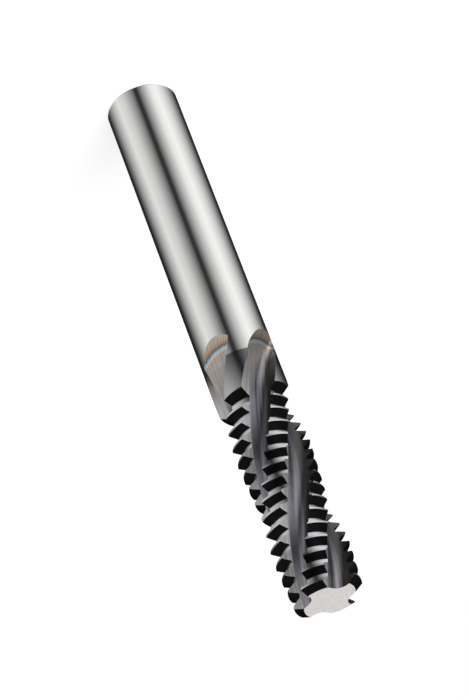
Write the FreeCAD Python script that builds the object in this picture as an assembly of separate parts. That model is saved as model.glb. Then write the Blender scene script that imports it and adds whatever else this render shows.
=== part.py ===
import FreeCAD, Part
import os
from math import ceil, cos, hypot, radians, sin, sqrt, tan

from FreeCAD import Vector

# Solid carbide thread mill, ground from one round rod.
# It stands on the rear face of its shank: the origin is the centre of that face,
# +Z runs along the axis to the cutting tip, and all sizes are in millimetres and degrees.

# Rod
shank_diameter = 10.0
overall_length = 83.0
neck_diameter = 9.98
neck_start = 46.5
neck_taper_length = 0.5
rear_chamfer = 0.3

# Thread form: rings of teeth with no lead
cutting_diameter = 9.95
pitch = 2.0
tooth_count = 15
thread_angle = 60.0
crest_flat = 0.25
root_flat = 0.5
crest_stock = 0.025
relief_offset = 0.716
neck_gap_extra = 0.25

# Flutes: right-hand helix, right-hand cut
flute_count = 4
flute_lead = 64.0
edge_angle_at_tip = 40.0
land_angle = 35.0
core_diameter = 5.32
gullet_radius = 1.5
rake_angle = 6.0
floor_angle = 0.0
heel_facet_angle = 14.0

# Run-out, where the grinding wheel leaves each flute at the shank
flute_length = 39.95
exit_radius = 22.0
exit_angle = 28.0
exit_gullet_radius = 0.4

# Reach of the cutters into free space
clear = 0.2
sector_ahead = 15.0
sector_behind = 60.0
exit_overrun = 1.0

# Division of the flutes' surfaces
section_step = 3.0
gullet_parts = 3

shank_radius = shank_diameter / 2
neck_radius = neck_diameter / 2
cutting_radius = cutting_diameter / 2
core_radius = core_diameter / 2
stock_radius = cutting_radius + crest_stock
largest_radius = max(shank_radius, neck_radius, stock_radius)
flute_spacing = 360.0 / flute_count
heel_angle = flute_spacing - land_angle
flank_run = (pitch - crest_flat - root_flat) / 2
flank_slope = tan(radians(thread_angle / 2))
root_radius = cutting_radius - flank_run / flank_slope
relief_drop = relief_offset * radians(land_angle)
first_gap_z = overall_length + root_flat / 2 - tooth_count * pitch
axis = Vector(0, 0, 1)


def polar(radius, angle):
    """Point of the XY plane at this radius and angle."""
    return Vector(radius * cos(radians(angle)), radius * sin(radians(angle)), 0)


def edge_angle(z):
    """Angle of the first cutting edge about the axis at height z."""
    return edge_angle_at_tip + 360.0 * (z - overall_length) / flute_lead


def around(shape):
    """Copies of a shape, one for each flute."""
    copies = []
    for number in range(flute_count):
        turned = shape.copy()
        turned.rotate(Vector(), axis, number * flute_spacing)
        copies.append(turned)
    return copies


def ring_face(profile):
    """Flat face through the axis with the given (radius, z) corners."""
    corners = [Vector(radius, 0, z) for radius, z in profile]
    return Part.Face(Part.makePolygon(corners + corners[:1]))


def make_rod(top):
    """Turned blank up to a height: chamfered shank, neck, and the stock of the teeth."""
    profile = [
        (0, 0),
        (shank_radius - rear_chamfer, 0),
        (shank_radius, rear_chamfer),
        (shank_radius, neck_start),
        (neck_radius, neck_start + neck_taper_length),
        (neck_radius, first_gap_z),
        (stock_radius, first_gap_z),
        (stock_radius, top),
        (0, top),
    ]
    return ring_face(profile).revolve(Vector(), axis, 360)


def full_depth_distance():
    """Distance of the flute's floor from the axis at full depth.

    The floor touches the gullet arc, which touches the rake face and the core.
    """
    across = gullet_radius - cutting_radius * sin(radians(rake_angle))
    along = sqrt((core_radius + gullet_radius) ** 2 - across ** 2)
    wall = polar(1, rake_angle)
    centre = wall * along + Vector(-wall.y, wall.x, 0) * across
    return centre.dot(polar(1, floor_angle)) - gullet_radius


full_distance = full_depth_distance()
exit_rise = shank_radius - full_distance
exit_run = sqrt(exit_radius ** 2 - (exit_radius - exit_rise) ** 2)
exit_z = overall_length - flute_length
full_z = exit_z + exit_run


def floor_line(z):
    """Normal angle, distance and gullet radius of the flute's floor at height z.

    Below full depth the floor rises on the wheel's arc and turns to the exit angle.
    """
    beyond = max(0, full_z - z)
    rise = exit_radius - sqrt(exit_radius ** 2 - beyond ** 2)
    share = rise / exit_rise
    normal_angle = floor_angle + (exit_angle - floor_angle) * share
    radius = gullet_radius + (exit_gullet_radius - gullet_radius) * share
    return normal_angle, full_distance + rise, radius


def crossing(normal_1, distance_1, normal_2, distance_2):
    """Point of the XY plane on two lines, each given by its unit normal and distance."""
    cosine = normal_1.dot(normal_2)
    share_1 = (distance_1 - distance_2 * cosine) / (1 - cosine ** 2)
    share_2 = (distance_2 - distance_1 * cosine) / (1 - cosine ** 2)
    return normal_1 * share_1 + normal_2 * share_2


def smooth_arc(centre, radius, start_angle, turn):
    """Circular arc of less than a right angle, drawn as one cubic curve."""
    half_turn = radians(turn) / 2
    pull = 4 / 3 * tan(half_turn / 2) / tan(half_turn)
    corner = polar(radius / cos(half_turn), start_angle + turn / 2)
    start = polar(radius, start_angle)
    end = polar(radius, start_angle + turn)
    poles = [start, start + (corner - start) * pull, end + (corner - end) * pull, end]
    curve = Part.BezierCurve()
    curve.setPoles([centre + pole for pole in poles])
    return curve.toShape()


def flute_section(z):
    """Closed outline of the flute cutter at height z.

    Angles are taken from the cutting edge that the flute serves. The gullet's arc joins
    the rake face to the floor, and the heel facet of the land ahead rises from the floor.
    The outline closes outside the rod.
    """
    normal_angle, distance, radius = floor_line(z)
    far = 1.5 * largest_radius
    floor_normal = polar(1, normal_angle)
    wall = polar(1, rake_angle)
    wall_normal = polar(1, rake_angle + 90)
    wall_distance = Vector(cutting_radius, 0, 0).dot(wall_normal)
    centre = crossing(floor_normal, distance + radius, wall_normal, wall_distance + radius)
    first_angle = normal_angle - 180
    turn = (rake_angle - 90 - first_angle) / gullet_parts
    gullet = [smooth_arc(centre, radius, first_angle + turn * part, turn) for part in range(gullet_parts)]
    facet_normal = polar(1, -heel_facet_angle)
    facet_distance = polar(cutting_radius, heel_angle).dot(facet_normal)
    valley = crossing(floor_normal, distance, facet_normal, facet_distance)
    facet_end = valley + polar(far, 90 - heel_facet_angle)
    wall_start = centre - wall_normal * radius
    wall_end = wall_start + wall * far
    outside = polar(2.5 * far, heel_angle / 2)
    outline = Part.Wire([
        Part.makeLine(facet_end, valley),
        Part.makeLine(valley, centre - floor_normal * radius),
        *gullet,
        Part.makeLine(wall_start, wall_end),
        Part.makeLine(wall_end, outside),
        Part.makeLine(outside, facet_end),
    ])
    outline.rotate(Vector(), axis, edge_angle(z))
    outline.translate(Vector(0, 0, z))
    return outline


def even_heights(bottom, top, step):
    """Heights from bottom to top, evenly spaced at about this step."""
    count = ceil((top - bottom) / step)
    return [bottom + (top - bottom) * index / count for index in range(count + 1)]


def flute_cutters(heights):
    """One twisted cutter through the flute's outline at these heights, for each flute."""
    return around(Part.makeLoft([flute_section(z) for z in heights], True, False))


def relieved_sectors(profile, z):
    """Ring sectors that grind every land, from (radius, z) corners at its cutting edge.

    Their axes lie beside the tool's own, square to the cutting edges at height z, so
    that every radius falls away behind the edge.
    """
    about_relief_axis = [(hypot(radius, relief_offset), height) for radius, height in profile]
    sector = ring_face(about_relief_axis).revolve(Vector(), axis, sector_ahead + sector_behind)
    sector.rotate(Vector(), axis, edge_angle(z) - sector_behind)
    sector.translate(polar(relief_offset, edge_angle(z) + 90))
    return around(sector)


def gap_sectors(z, extra=0.0):
    """Trapezoid gaps between teeth, with the middle of their roots at height z.

    The extra widens the root towards the shank.
    """
    outer_radius = largest_radius + relief_drop + clear
    half_root = root_flat / 2
    half_mouth = half_root + (outer_radius - root_radius) * flank_slope
    profile = [
        (root_radius, z - half_root - extra),
        (root_radius, z + half_root),
        (outer_radius, z + half_mouth),
        (outer_radius, z - half_mouth - extra),
    ]
    return relieved_sectors(profile, z)


def crest_sectors(z):
    """Bands that bring the crests at height z to the cutting diameter."""
    outer_radius = largest_radius + relief_drop + clear
    half_width = crest_flat / 2 + clear
    profile = [
        (cutting_radius, z - half_width),
        (cutting_radius, z + half_width),
        (outer_radius, z + half_width),
        (outer_radius, z - half_width),
    ]
    return relieved_sectors(profile, z)


def make_shank_end(top, teeth):
    """Shank, neck, flute run-outs and the first teeth, up to the middle of a gap."""
    heights = even_heights(exit_z - exit_overrun, full_z, section_step)
    heights += even_heights(full_z, top, section_step)[1:]
    heights += [top + section_step]
    body = make_rod(top).cut(flute_cutters(heights))
    body = body.cut(gap_sectors(first_gap_z, neck_gap_extra))
    for index in range(teeth):
        body = body.cut(gap_sectors(first_gap_z + (index + 1) * pitch))
    for index in range(teeth):
        body = body.cut(crest_sectors(first_gap_z + (index + 0.5) * pitch))
    return body


def make_tooth_slice(bottom, top):
    """One ring of teeth with its flutes, from the middle of a gap to the next or to the tip."""
    slab = Part.makeCylinder(stock_radius, top - bottom, Vector(0, 0, bottom))
    heights = even_heights(bottom, top, section_step)
    heights = [bottom - section_step] + heights + [top + section_step]
    slab = slab.cut(flute_cutters(heights))
    cutters = gap_sectors(bottom) + gap_sectors(bottom + pitch) + crest_sectors(bottom + pitch / 2)
    return slab.cut(cutters)


def make_thread_mill():
    """Shank end, with the identical rings of teeth stacked on it along the helix."""
    first_teeth = max(0, ceil((full_z + exit_overrun - first_gap_z) / pitch))
    first_z = first_gap_z + first_teeth * pitch
    shank_end = make_shank_end(first_z, first_teeth)
    tooth_slice = make_tooth_slice(first_z, first_z + pitch)
    slices = []
    for index in range(tooth_count - first_teeth - 1):
        ring = tooth_slice.copy()
        ring.rotate(Vector(), axis, 360.0 * index * pitch / flute_lead)
        ring.translate(axis * index * pitch)
        slices.append(ring)
    last_gap_z = first_gap_z + (tooth_count - 1) * pitch
    slices.append(make_tooth_slice(last_gap_z, overall_length))
    return shank_end.fuse(slices).removeSplitter()


os.makedirs("parts", exist_ok=True)
thread_mill = make_thread_mill().Solids[0]
thread_mill.exportStep("parts/thread_mill.step")
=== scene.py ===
import math
from types import SimpleNamespace

import bpy
from mathutils import Matrix, Vector


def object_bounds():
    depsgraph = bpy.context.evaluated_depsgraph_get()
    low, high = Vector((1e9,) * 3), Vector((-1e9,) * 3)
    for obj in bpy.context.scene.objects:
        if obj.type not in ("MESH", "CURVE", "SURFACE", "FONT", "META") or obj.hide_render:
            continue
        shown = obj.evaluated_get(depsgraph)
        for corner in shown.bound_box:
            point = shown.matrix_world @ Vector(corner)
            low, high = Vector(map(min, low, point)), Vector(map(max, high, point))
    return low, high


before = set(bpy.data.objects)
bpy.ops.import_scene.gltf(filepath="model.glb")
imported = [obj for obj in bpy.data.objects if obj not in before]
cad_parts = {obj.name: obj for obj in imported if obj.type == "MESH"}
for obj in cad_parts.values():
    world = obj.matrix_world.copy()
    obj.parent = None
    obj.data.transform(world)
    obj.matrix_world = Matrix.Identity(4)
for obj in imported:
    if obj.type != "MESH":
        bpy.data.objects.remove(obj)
cad_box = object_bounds()

# All lengths below are in millimetres and all angles in degrees, as on the real tool.
# The tool stands on its shank, with its axis on Z and the cutting tip at the top.
MM = 0.001

# Tool
SHANK_RADIUS = 5.0
OVERALL_LENGTH = 83.0
FLUTE_LEAD = 64.0
RUN_OUT_Z = 43.0
COATING_Z = 46.5
TEETH_Z = 52.0
ROOT_DEPTH = 1.7
EDGE_WIDTH = 0.07

# Heights over which the finish changes
COATED_PART_START = (RUN_OUT_Z - 0.3, RUN_OUT_Z - 0.1)
COATING_EDGE = (COATING_Z - 0.1, COATING_Z + 0.1)
RAKE_START = (COATING_Z - 1.5, COATING_Z + 1.5)
HEEL_START = (COATING_Z + 0.5, COATING_Z + 2.0)
GULLET_START = (COATING_Z, TEETH_Z)
TEETH_START = (TEETH_Z - 0.1, TEETH_Z)
TIP_START = (OVERALL_LENGTH - 0.05, OVERALL_LENGTH - 0.02)

# Depths under the shank's surface. Painted shade darkens the gullets over the first range.
# The round walls and the painted edge highlights each have two limits: one for the neck and
# one for the teeth.
GULLET_DEPTH = (0.8, 1.9)
DULL_DEPTH = (0.3, 1.5)
ROUND_WALL_LIMITS = (0.05, ROOT_DEPTH)
EDGE_HIGHLIGHT_LIMITS = (0.06, 0.5)

# How squarely each kind of surface faces its own way, from where its share starts to
# where it is full
FACES_OUTWARD = (0.93, 0.97)
RAKE_FACES_ONWARD = (0.5, 0.8)
HEEL_FACES_ONWARD = (-0.72, -0.85)
TIP_FLANK_FACES_UPWARD = (0.7, 0.8)
SHANK_FLANK_FACES_UPWARD = (-0.7, -0.8)
END_FACES_UPWARD = (0.95, 0.99)

# Turn of the rounded edges against the flat beside them, from where the painted edge
# highlight starts to where it is full
EDGE_TURN = (0.03, 0.2)
EDGE_SAMPLES = 4

# Colours of the finish, as linear red, green and blue
BARE = (0.90, 0.895, 0.885)
LAND_RANGE = (COATING_Z - 1, TEETH_Z + 1)
LAND_COLOURS = [
    (COATING_Z - 0.05, BARE),
    (COATING_Z + 0.05, (0.21, 0.23, 0.27)),
    (COATING_Z + 1.5, (0.28, 0.29, 0.30)),
    (COATING_Z + 3.5, (0.40, 0.405, 0.39)),
    (TEETH_Z, (0.50, 0.50, 0.48)),
    (TEETH_Z + 0.4, (0.66, 0.66, 0.68)),
]
FLUTE_RANGE = (RUN_OUT_Z, TEETH_Z + 1)
FLUTE_COLOURS = [
    (RUN_OUT_Z + 0.2, (0.60, 0.56, 0.49)),
    (RUN_OUT_Z + 1.2, (0.56, 0.46, 0.36)),
    (RUN_OUT_Z + 1.85, (0.46, 0.28, 0.17)),
    (RUN_OUT_Z + 2.15, (0.13, 0.16, 0.24)),
    (RUN_OUT_Z + 2.45, (0.34, 0.54, 0.64)),
    (RUN_OUT_Z + 2.75, (0.72, 0.70, 0.62)),
    (RUN_OUT_Z + 3.1, (0.60, 0.43, 0.36)),
    (RUN_OUT_Z + 3.5, (0.46, 0.47, 0.42)),
    (RUN_OUT_Z + 4.2, (0.50, 0.45, 0.43)),
    (RUN_OUT_Z + 7.5, (0.46, 0.44, 0.42)),
    (TEETH_Z + 1, (0.62, 0.61, 0.62)),
]
# Painted shade in the deep gullets, streaked lighter with painted highlight
GULLET_SHADE = (0.095, 0.10, 0.128)
GULLET_HIGHLIGHT = (0.37, 0.355, 0.385)
# Painted light: the heel facets are made almost as light as bare carbide
HEEL_LIGHT = (0.86, 0.85, 0.84)
# Painted shade on the rake faces
RAKE_SHADE = (0.11, 0.108, 0.10)
# Painted shade on the flanks of the teeth, both the downward and the upward ones
SHANK_FLANK_SHADE = (0.16, 0.16, 0.16)
TIP_FLANK_SHADE = (0.060, 0.062, 0.068)
# Painted highlight along the edges
EDGE_HIGHLIGHT = (0.55, 0.55, 0.55)
EDGE_HIGHLIGHT_SHARE = 0.7
END_FACE = (0.54, 0.515, 0.505)

# Roughness of the finish: the shank's, what other surfaces add to it, and the end face's
SHANK_ROUGHNESS = (0.05, 0.08)
COATING_ADDS = 0.12
FLUTE_ADDS = (0.06, 0.20)
HEEL_ADDS = 0.25
END_ROUGHNESS = 0.62
END_MATT_SHARE = 0.85

# Fine lines left by grinding, drawn out along the flutes by squeezing their height
LINE_DEPTH = 0.02
LINE_STRENGTH = 0.12
STREAK_SQUEEZE = 0.03
USUAL_NOISE = (0.3, 0.7)

# Camera: fitted to the outline of the photographed shank
CAMERA_PLACE = (0.0, -347.54, 267.97)
CAMERA_RIGHT = (-0.93441, 0.19360, 0.29899)
CAMERA_DOWN = (0.35619, 0.50759, 0.78453)
CAMERA_LENS = 161.45
CAMERA_SENSOR = 36.0
CAMERA_NEAR = 10.0

# Studio
WHITE = (1.0, 1.0, 1.0)
FLOOR_SIZE = 4000.0
FLOOR_FADE = (60.0, 250.0)
FLOOR_GREY = 0.24
FLOOR_GLOW = 0.78
FLOOR_BOUNCE = 0.8
CIRCLE_PARTS = 64
CARD_RADIUS = 600.0
CARD_HOLE = 0.001
CARD_DEPTH = 60.0
CARD_TURN = -90.0
CARD_GREYS = [
    (-180, 0.01), (-140, 0.03), (-120, 0.24), (-86, 0.74),
    (-62, 1.00), (-44, 0.88), (-15, 0.26), (-4, 0.035),
    (4, 0.035), (15, 0.24), (44, 0.66), (70, 0.82),
    (90, 0.56), (120, 0.16), (140, 0.02), (180, 0.01),
]
CEILING_EDGE = 25.0
CEILING_GREY = 0.09
CEILING_ROWS = 12
SKY_ON_TOOL = 0.55
LAMP_PLACE = (-260.0, -330.0, 620.0)
LAMP_AIM = (0.0, 0.0, 40.0)
LAMP_SIZE = 500.0
LAMP_POWER = 6.5


class Tree:
    """Short calls that add nodes to one shader and link them."""

    def __init__(self, owner):
        owner.use_nodes = True
        self.tree = owner.node_tree
        self.tree.nodes.clear()

    def add(self, kind, inputs=None, **settings):
        """New node with these settings; inputs may be values or sockets."""
        node = self.tree.nodes.new(kind)
        for name, value in settings.items():
            setattr(node, name, value)
        for key, value in (inputs or {}).items():
            self.put(node.inputs[key], value)
        return node

    def put(self, socket, value):
        """Link a socket into this input, or set its value."""
        if isinstance(value, bpy.types.NodeSocket):
            self.tree.links.new(value, socket)
        elif socket.type == "RGBA":
            socket.default_value = (*value, 1.0)
        else:
            socket.default_value = value

    def math(self, operation, first, second=0.0):
        """Result of a math node."""
        return self.add("ShaderNodeMath", {0: first, 1: second}, operation=operation).outputs[0]

    def sum(self, *values):
        """All the values added together."""
        result = values[0]
        for value in values[1:]:
            result = self.math("ADD", result, value)
        return result

    def product(self, *values):
        """All the values multiplied together."""
        result = values[0]
        for value in values[1:]:
            result = self.math("MULTIPLY", result, value)
        return result

    def opposite(self, share):
        """What is left of 1."""
        return self.math("SUBTRACT", 1.0, share)

    def dot(self, first, second):
        """Dot product of two vectors."""
        node = self.add("ShaderNodeVectorMath", {0: first, 1: second}, operation="DOT_PRODUCT")
        return node.outputs["Value"]

    def length(self, vector):
        """Length of a vector."""
        return self.math("SQRT", self.dot(vector, vector))

    def scale(self, vector, factor):
        """Vector or colour times a number."""
        inputs = {"Vector": vector, "Scale": factor}
        return self.add("ShaderNodeVectorMath", inputs, operation="SCALE").outputs["Vector"]

    def split(self, vector):
        """The three values of a vector."""
        outputs = self.add("ShaderNodeSeparateXYZ", {"Vector": vector}).outputs
        return outputs["X"], outputs["Y"], outputs["Z"]

    def join(self, x, y, z):
        """Vector from three values."""
        return self.add("ShaderNodeCombineXYZ", {"X": x, "Y": y, "Z": z}).outputs["Vector"]

    def place(self):
        """Place of the point on its object."""
        return self.add("ShaderNodeTexCoord").outputs["Object"]

    def ramp(self, factor, low, high, stops):
        """Colour ramp from (value, colour) stops between low and high."""
        share = self.math("DIVIDE", self.math("SUBTRACT", factor, low), high - low)
        node = self.add("ShaderNodeValToRGB", {"Fac": share})
        elements = node.color_ramp.elements
        while len(elements) < len(stops):
            elements.new(1.0)
        for element, (value, colour) in zip(elements, stops):
            element.position = (value - low) / (high - low)
            element.color = (*colour, 1.0)
        return node.outputs["Color"]

    def mix(self, factor, first, second):
        """Blend of two colours."""
        inputs = {"Fac": factor, "Color1": first, "Color2": second}
        return self.add("ShaderNodeMixRGB", inputs).outputs["Color"]

    def fade(self, value, low, high, start=0.0, end=1.0):
        """Smooth step between two values as another goes from low to high."""
        inputs = {"Value": value, "From Min": low, "From Max": high, "To Min": start, "To Max": end}
        return self.add("ShaderNodeMapRange", inputs, interpolation_type="SMOOTHSTEP").outputs["Result"]

    def noise(self, vector, scale, detail, low, high):
        """Noise whose usual range is spread between low and high."""
        inputs = {"Vector": vector, "Scale": scale, "Detail": detail}
        value = self.add("ShaderNodeTexNoise", inputs).outputs["Fac"]
        return self.fade(value, *USUAL_NOISE, low, high)

    def sees_background(self):
        """1 for rays from the camera, from gloss and through glass, else 0."""
        path = self.add("ShaderNodeLightPath").outputs
        straight = self.math("MAXIMUM", path["Is Camera Ray"], path["Is Glossy Ray"])
        return self.math("MAXIMUM", straight, path["Is Transmission Ray"])

    def matt(self, colour):
        """Shader of a matt surface."""
        return self.add("ShaderNodeBsdfDiffuse", {"Color": colour}).outputs[0]

    def glow(self, colour, strength=1.0):
        """Shader that shines by itself."""
        return self.add("ShaderNodeEmission", {"Color": colour, "Strength": strength}).outputs[0]

    def blend(self, factor, first, second):
        """Blend of two shaders."""
        return self.add("ShaderNodeMixShader", {0: factor, 1: first, 2: second}).outputs[0]

    def set_surface(self, shader):
        """Give the material this shader."""
        self.add("ShaderNodeOutputMaterial", {"Surface": shader})


def grey(value):
    """Grey as red, green and blue."""
    return (value, value, value)


def make_camera():
    """Camera at the photograph's viewing angle."""
    right = Vector(CAMERA_RIGHT).normalized()
    down = Vector(CAMERA_DOWN).normalized()
    back = right.cross(-down).normalized()
    up = back.cross(right)
    data = bpy.data.cameras.new("camera")
    data.lens = CAMERA_LENS
    data.sensor_width = CAMERA_SENSOR
    data.sensor_fit = "AUTO"
    data.clip_start = CAMERA_NEAR * MM
    camera = bpy.data.objects.new("camera", data)
    turned = Matrix([(right[row], up[row], back[row]) for row in range(3)]).to_4x4()
    camera.matrix_world = Matrix.Translation(Vector(CAMERA_PLACE) * MM) @ turned
    bpy.context.scene.collection.objects.link(camera)
    bpy.context.scene.camera = camera


def add_stage(name, points, faces, material):
    """Stage object of flat faces, with points in metres."""
    mesh = bpy.data.meshes.new(name)
    mesh.from_pydata(points, [], faces)
    mesh.materials.append(material)
    item = bpy.data.objects.new(name, mesh)
    bpy.context.scene.collection.objects.link(item)
    return item


def seen_by_gloss_only(item):
    """Studio card that only reflections see."""
    item.visible_camera = False
    item.visible_diffuse = False
    item.visible_transmission = False
    item.visible_shadow = False


def revolved(rows):
    """Points and faces of a surface of revolution through these (radius, z) rows, in metres."""
    points = []
    for radius, z in rows:
        for index in range(CIRCLE_PARTS):
            turn = math.tau * index / CIRCLE_PARTS
            points.append((radius * MM * math.cos(turn), radius * MM * math.sin(turn), z * MM))
    faces = []
    for row in range(len(rows) - 1):
        low, high = row * CIRCLE_PARTS, (row + 1) * CIRCLE_PARTS
        for index in range(CIRCLE_PARTS):
            beside = (index + 1) % CIRCLE_PARTS
            faces.append((low + index, low + beside, high + beside, high + index))
    return points, faces


def floor_material():
    """Pale floor: near white where it is seen, with a soft shadow.

    Far from the tool it is as white as the surroundings, so that no horizon shows.
    """
    material = bpy.data.materials.new("floor")
    tree = Tree(material)
    inputs = {0: tree.matt(grey(FLOOR_GREY)), 1: tree.glow(WHITE, FLOOR_GLOW)}
    near = tree.add("ShaderNodeAddShader", inputs).outputs[0]
    far = tree.fade(tree.length(tree.place()), FLOOR_FADE[0] * MM, FLOOR_FADE[1] * MM)
    seen = tree.blend(far, near, tree.glow(WHITE))
    tree.set_surface(tree.blend(tree.sees_background(), tree.matt(grey(FLOOR_BOUNCE)), seen))
    return material


def make_floor():
    """Large floor under the shank's rear face. Reflections see the cards below it instead."""
    half = FLOOR_SIZE / 2 * MM
    z = cad_box[0][2]
    corners = [(-half, -half, z), (half, -half, z), (half, half, z), (-half, half, z)]
    floor = add_stage("floor", corners, [(0, 1, 2, 3)], floor_material())
    floor.visible_glossy = False


def card_material():
    """Dark and bright cards round the tool, by the angle about its axis.

    The middle of the ramp faces the camera side. The shank mirrors it as its dark line,
    its two broad highlights and its dark edges.
    """
    material = bpy.data.materials.new("card_ring")
    tree = Tree(material)
    inputs = {"Vector": tree.place()}
    turn = tree.add("ShaderNodeTexGradient", inputs, gradient_type="RADIAL").outputs["Fac"]
    degrees = tree.product(tree.math("SUBTRACT", turn, 0.5), 360.0)
    stops = [(angle, grey(value)) for angle, value in CARD_GREYS]
    tree.set_surface(tree.glow(tree.ramp(degrees, -180, 180, stops)))
    return material


def make_cards():
    """Disc under the floor with a wall round it, its X axis turned to the camera side.

    It lies well below the tool, so that its angles look the same from all of the shank.
    """
    wall_top = CARD_RADIUS * math.tan(math.radians(CEILING_EDGE))
    rows = [(CARD_HOLE, -CARD_DEPTH), (CARD_RADIUS, -CARD_DEPTH), (CARD_RADIUS, wall_top)]
    cards = add_stage("cards", *revolved(rows), card_material())
    cards.rotation_euler.z = math.radians(CARD_TURN)
    seen_by_gloss_only(cards)


def ceiling_material():
    """Dark cloth."""
    material = bpy.data.materials.new("ceiling")
    tree = Tree(material)
    tree.set_surface(tree.glow(grey(CEILING_GREY)))
    return material


def make_ceiling():
    """Dark dome on the wall of cards, which the tool's upward flanks mirror."""
    radius = CARD_RADIUS / math.cos(math.radians(CEILING_EDGE))
    step = (90 - CEILING_EDGE) / CEILING_ROWS
    tilts = [math.radians(CEILING_EDGE + step * row) for row in range(CEILING_ROWS + 1)]
    rows = [(radius * math.cos(tilt), radius * math.sin(tilt)) for tilt in tilts]
    seen_by_gloss_only(add_stage("ceiling", *revolved(rows), ceiling_material()))


def make_light():
    """Even white surroundings and one large soft lamp, which gloss doesn't see."""
    world = bpy.data.worlds.new("studio")
    bpy.context.scene.world = world
    tree = Tree(world)
    strength = tree.fade(tree.sees_background(), 0.0, 1.0, SKY_ON_TOOL, 1.0)
    sky = tree.add("ShaderNodeBackground", {"Color": WHITE, "Strength": strength})
    tree.add("ShaderNodeOutputWorld", {"Surface": sky.outputs[0]})
    data = bpy.data.lights.new("soft_lamp", "AREA")
    data.energy = LAMP_POWER
    data.size = LAMP_SIZE * MM
    lamp = bpy.data.objects.new("soft_lamp", data)
    lamp.location = Vector(LAMP_PLACE) * MM
    aim = Vector(LAMP_AIM) * MM - lamp.location
    lamp.rotation_euler = aim.to_track_quat("-Z", "Y").to_euler()
    lamp.visible_glossy = False
    bpy.context.scene.collection.objects.link(lamp)


def place_on_tool(tree):
    """Where a point lies: its place, its depth under the shank's surface and the helix unwound."""
    place = tree.scale(tree.place(), 1 / MM)
    x, y, z = tree.split(place)
    flat = tree.join(x, y, 0.0)
    across = tree.length(flat)
    turn = tree.math("SUBTRACT", tree.math("ARCTAN2", y, x), tree.product(z, math.tau / FLUTE_LEAD))
    unwound_x = tree.product(SHANK_RADIUS, tree.math("COSINE", turn))
    unwound_y = tree.product(SHANK_RADIUS, tree.math("SINE", turn))
    return SimpleNamespace(
        place=place,
        z=z,
        flat=flat,
        way_round=tree.join(tree.product(y, -1.0), x, 0.0),
        across=across,
        depth=tree.math("SUBTRACT", SHANK_RADIUS, across),
        along_flute=tree.join(unwound_x, unwound_y, tree.product(z, STREAK_SQUEEZE)),
    )


def surface_kinds(tree, point):
    """Share of each kind of surface at a point, by the point's height, depth and facing.

    Upward is towards the tip, outward is away from the axis, and onward is the way round
    it, counter-clockwise as seen from the tip.
    """
    normal = tree.add("ShaderNodeNewGeometry").outputs["True Normal"]
    upward = tree.split(normal)[2]
    outward = tree.math("DIVIDE", tree.dot(point.flat, normal), point.across)
    onward = tree.math("DIVIDE", tree.dot(point.way_round, normal), point.across)
    coated_part = tree.fade(point.z, *COATED_PART_START)
    on_teeth = tree.fade(point.z, *TEETH_START)
    wall_limit = tree.fade(point.z, *TEETH_START, *ROUND_WALL_LIMITS)
    at_wall = tree.math("LESS_THAN", point.depth, wall_limit)
    round_wall = tree.product(tree.fade(outward, *FACES_OUTWARD), at_wall)
    # Mask for the painted highlight along the edges
    bevel = tree.add("ShaderNodeBevel", {"Radius": EDGE_WIDTH * MM}, samples=EDGE_SAMPLES)
    edge = tree.fade(tree.opposite(tree.dot(bevel.outputs["Normal"], normal)), *EDGE_TURN)
    edge_limit = tree.fade(point.z, *TEETH_START, *EDGE_HIGHLIGHT_LIMITS)
    at_edge = tree.math("LESS_THAN", point.depth, edge_limit)
    return SimpleNamespace(
        round_wall=round_wall,
        in_flute=tree.product(tree.opposite(round_wall), coated_part),
        rake_face=tree.product(tree.fade(point.z, *RAKE_START), tree.fade(onward, *RAKE_FACES_ONWARD)),
        heel_face=tree.product(tree.fade(point.z, *HEEL_START), tree.fade(onward, *HEEL_FACES_ONWARD)),
        tip_flank=tree.product(on_teeth, tree.fade(upward, *TIP_FLANK_FACES_UPWARD)),
        shank_flank=tree.product(on_teeth, tree.fade(upward, *SHANK_FLANK_FACES_UPWARD)),
        edge_highlight=tree.product(edge, coated_part, at_edge),
        end_face=tree.product(tree.fade(point.z, *TIP_START), tree.fade(upward, *END_FACES_UPWARD)),
    )


def flute_colour(tree, point, fine_streaks):
    """Temper-like bands where the coating thins out in the run-outs, and painted shade in the deep
    gullets, streaked with painted highlight.
    """
    wander = tree.noise(point.along_flute, scale=7.0, detail=2.0, low=-0.08, high=0.08)
    tints = tree.ramp(tree.sum(point.z, point.depth, wander), *FLUTE_RANGE, FLUTE_COLOURS)
    # Painted highlight streaks and painted shade, deeper in the gullets
    highlight_streaks = tree.noise(point.along_flute, scale=0.9, detail=1.5, low=0.0, high=1.0)
    gullet = tree.mix(highlight_streaks, GULLET_SHADE, GULLET_HIGHLIGHT)
    shaded_gullet = tree.product(tree.fade(point.depth, *GULLET_DEPTH), tree.fade(point.z, *GULLET_START))
    return tree.mix(shaded_gullet, tree.scale(tints, fine_streaks), gullet)


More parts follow.
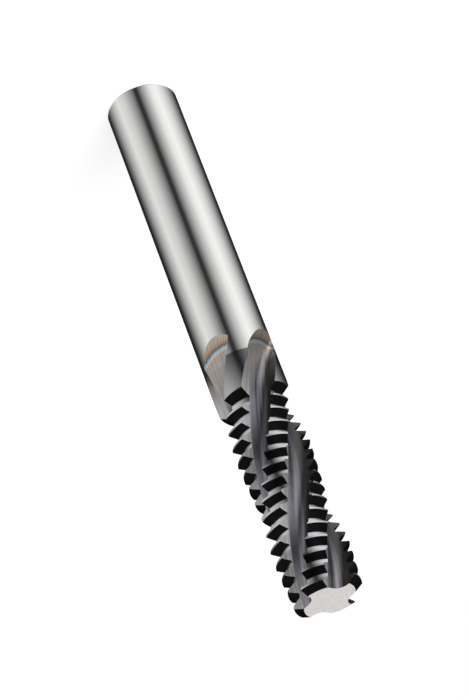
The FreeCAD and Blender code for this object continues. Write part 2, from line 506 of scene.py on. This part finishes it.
def carbide_colour(tree, point, kinds):
    """Colour of the lands, bare up to the coating's edge, and over it that of each other surface."""
    fine_streaks = tree.noise(point.along_flute, scale=6.0, detail=3.0, low=0.80, high=1.14)
    mottle = tree.noise(point.place, scale=3.0, detail=6.0, low=0.90, high=1.08)
    layers = [
        (kinds.in_flute, flute_colour(tree, point, fine_streaks)),
        # painted light on the heel facets
        (kinds.heel_face, tree.scale(HEEL_LIGHT, fine_streaks)),
        # painted shade on the rake faces
        (kinds.rake_face, tree.scale(RAKE_SHADE, fine_streaks)),
        # painted shade on the flanks of the teeth
        (kinds.shank_flank, SHANK_FLANK_SHADE),
        (kinds.tip_flank, TIP_FLANK_SHADE),
        # painted highlight along the edges
        (tree.product(kinds.edge_highlight, EDGE_HIGHLIGHT_SHARE), EDGE_HIGHLIGHT),
        (kinds.end_face, tree.scale(END_FACE, mottle)),
    ]
    colour = tree.ramp(point.z, *LAND_RANGE, LAND_COLOURS)
    for share, layer in layers:
        colour = tree.mix(share, colour, layer)
    return colour


def carbide_roughness(tree, point, kinds):
    """Bright shank, satin coating, duller gullets and heel facets, and a matt end face."""
    low, high = SHANK_ROUGHNESS
    roughness = tree.sum(
        tree.noise(point.place, scale=0.8, detail=3.0, low=low, high=high),
        tree.product(tree.fade(point.z, *COATING_EDGE), COATING_ADDS),
        tree.product(kinds.in_flute, tree.fade(point.depth, *DULL_DEPTH, *FLUTE_ADDS)),
        tree.product(kinds.heel_face, HEEL_ADDS),
    )
    return tree.math("MAXIMUM", roughness, tree.product(kinds.end_face, END_ROUGHNESS))


def grinding_lines(tree, point, kinds):
    """Fine lines left by grinding: rings round the rod, and lines along the flutes."""
    rings = tree.noise(tree.join(0.0, 0.0, point.z), scale=14.0, detail=3.0, low=0.0, high=0.3)
    grain = tree.noise(point.along_flute, scale=9.0, detail=2.0, low=0.0, high=0.4)
    height = tree.sum(tree.product(rings, kinds.round_wall), tree.product(grain, kinds.in_flute))
    inputs = {"Height": height, "Strength": LINE_STRENGTH, "Distance": LINE_DEPTH * MM}
    return tree.add("ShaderNodeBump", inputs).outputs["Normal"]


def carbide_material():
    """Ground carbide shank, dark coating on the cutting part with painted shade and highlights, tinted
    run-outs, matt end face.
    """
    material = bpy.data.materials.new("carbide_finish")
    tree = Tree(material)
    point = place_on_tool(tree)
    kinds = surface_kinds(tree, point)
    shader = tree.add("ShaderNodeBsdfPrincipled", {
        "Base Color": carbide_colour(tree, point, kinds),
        "Metallic": tree.opposite(tree.product(kinds.end_face, END_MATT_SHARE)),
        "Roughness": carbide_roughness(tree, point, kinds),
        "Normal": grinding_lines(tree, point, kinds),
    })
    tree.set_surface(shader.outputs[0])
    return material


make_camera()
make_floor()
make_cards()
make_ceiling()
make_light()

thread_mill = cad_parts["thread_mill"]
thread_mill.material_slots[0].material = carbide_material()

bpy.context.scene.view_settings.view_transform = "Standard"
